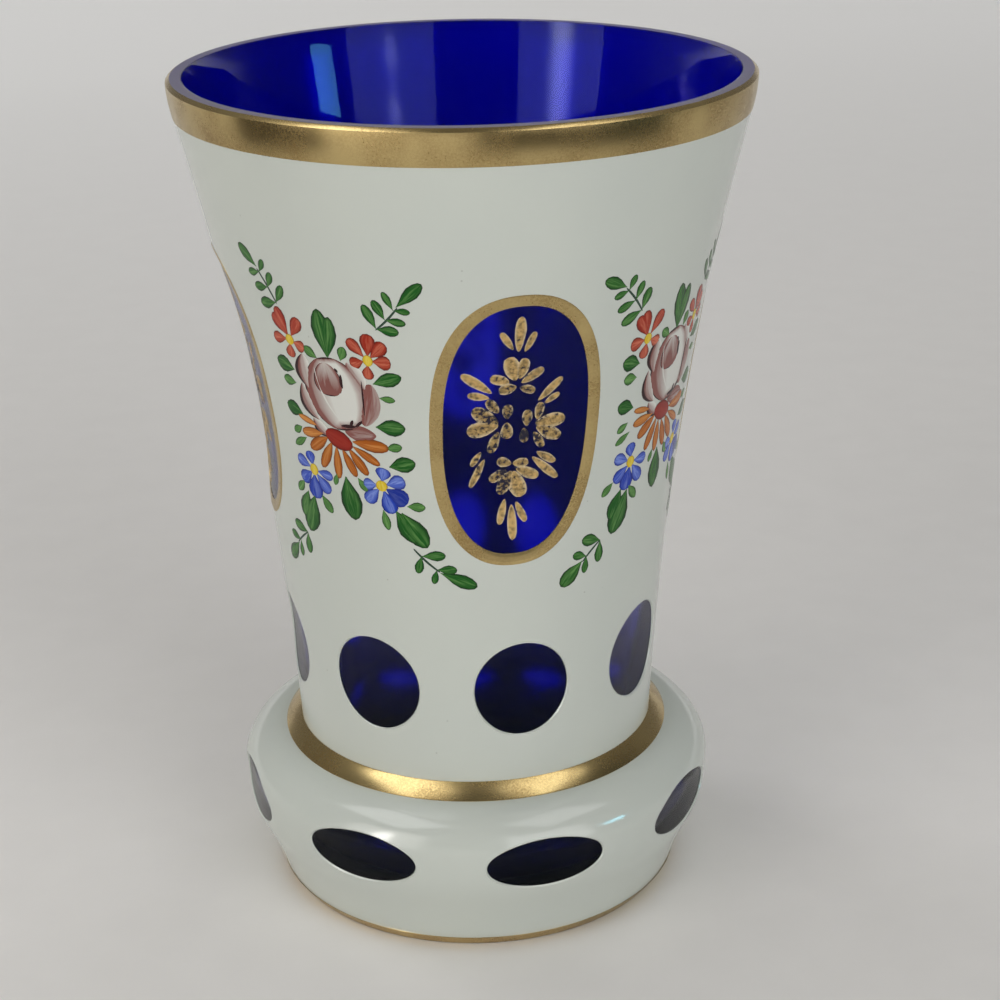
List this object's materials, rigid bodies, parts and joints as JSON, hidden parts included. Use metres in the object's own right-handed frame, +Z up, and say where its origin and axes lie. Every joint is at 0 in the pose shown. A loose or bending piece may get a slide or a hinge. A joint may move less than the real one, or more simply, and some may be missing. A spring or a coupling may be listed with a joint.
{
  "type": "vase",
  "caption": "Flared cobalt glass vase cased in white, with oval and round windows ground through the casing, gilt bands and a bulged foot.",
  "frame": {"origin": "centre of the foot, on the surface the vase stands on", "axes": "+Z up along the axis of the vase; -Y towards an upright oval window"},
  "size_m": [0.1402, 0.1402, 0.21],
  "materials": {
    "cobalt_glass": "polished",
    "opal_glass": "gloss",
    "gilding": "satin"
  },
  "bodies": {
    "root": {"cobalt_body": "cobalt_glass", "white_overlay": "opal_glass", "rim_gilding": "gilding", "neck_gilding": "gilding", "foot_gilding": "gilding", "oval_gilding_front": "gilding", "oval_gilding_right": "gilding", "oval_gilding_back": "gilding", "oval_gilding_left": "gilding"}
  },
  "joints": []
}
